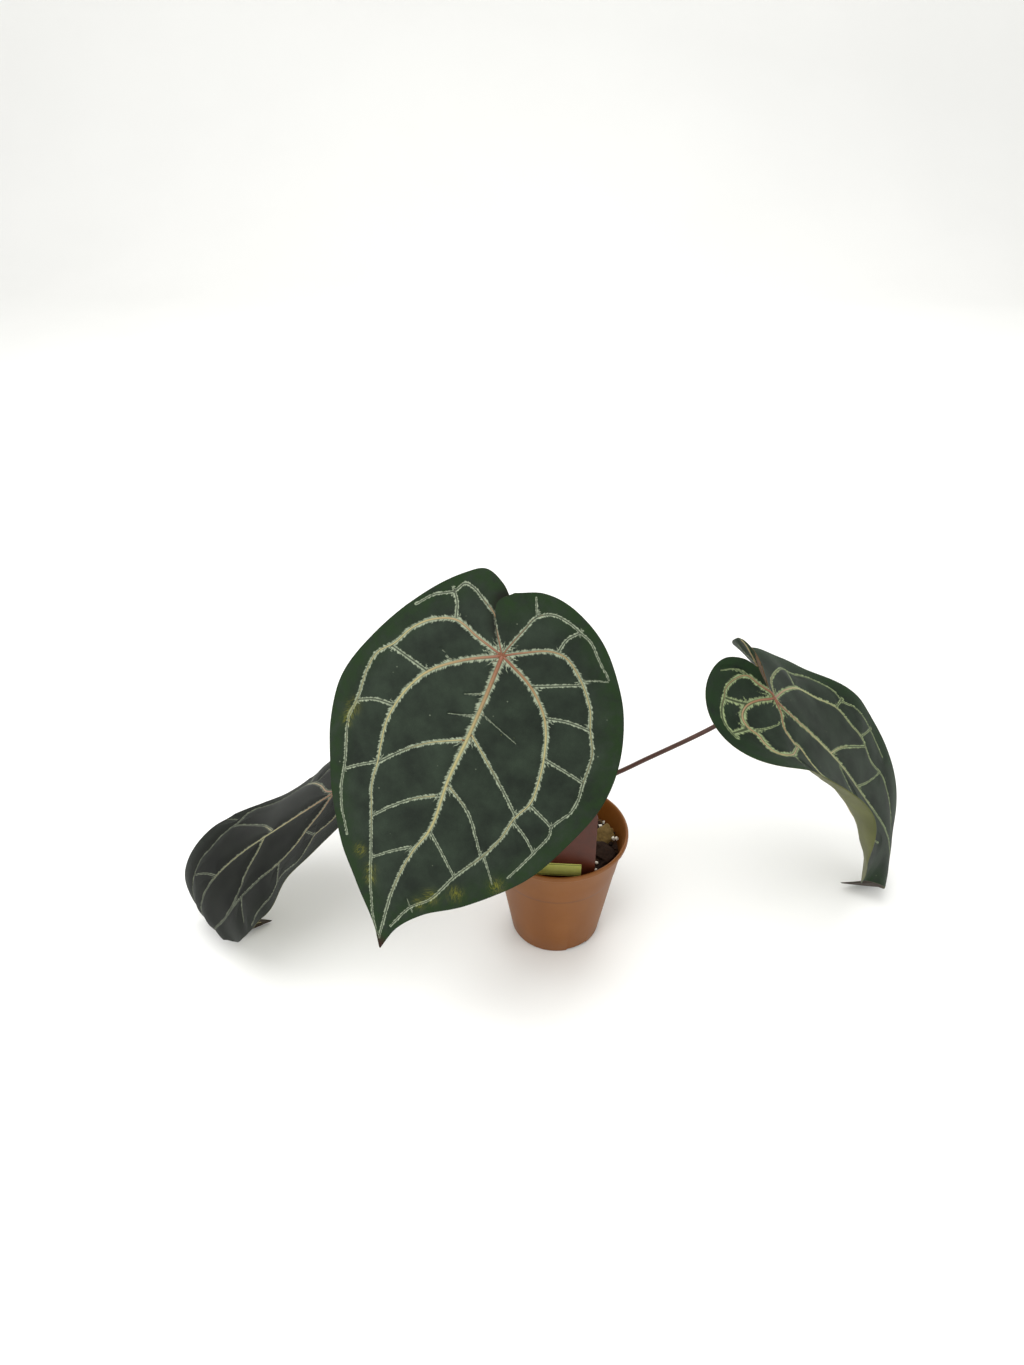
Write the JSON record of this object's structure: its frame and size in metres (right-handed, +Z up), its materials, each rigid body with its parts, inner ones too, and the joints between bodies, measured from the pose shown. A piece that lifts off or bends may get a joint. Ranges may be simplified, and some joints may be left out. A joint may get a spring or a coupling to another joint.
{
  "type": "potted anthurium plant",
  "caption": "Potted velvet-leaved anthurium: broad heart-shaped leaves with pale veins on long petioles, on a short stem in a tapered nursery pot of bark mix, with a plant tag.",
  "frame": {"origin": "centre of the underside of the pot's base", "axes": "+Z up along the pot's axis, -Y towards the front of the plant, where the tag stands, +X to the right seen from the front"},
  "size_m": [0.6569, 0.2253, 0.3769],
  "materials": {
    "pot": "smooth terracotta-coloured moulded plastic",
    "potting_mix": "rough loose bark chips with grains of white perlite",
    "stem": "matte green-brown stem with dry papery sheaths",
    "petiole": "satin dark red-brown leaf stalk",
    "leaf": "velvety dark green blade with pale silvery veins, smoother and yellow-green below",
    "tag": "semi-gloss brown plastic",
    "label": "laminated yellow-green label tape"
  },
  "bodies": {
    "root": {"pot": "pot", "potting_mix": "potting_mix", "stem": "stem", "petiole_front": "petiole", "petiole_left": "petiole", "petiole_right": "petiole", "leaf_front": "leaf", "leaf_left": "leaf", "leaf_right": "leaf", "plant_tag": "tag", "tag_label": "label"}
  },
  "joints": []
}
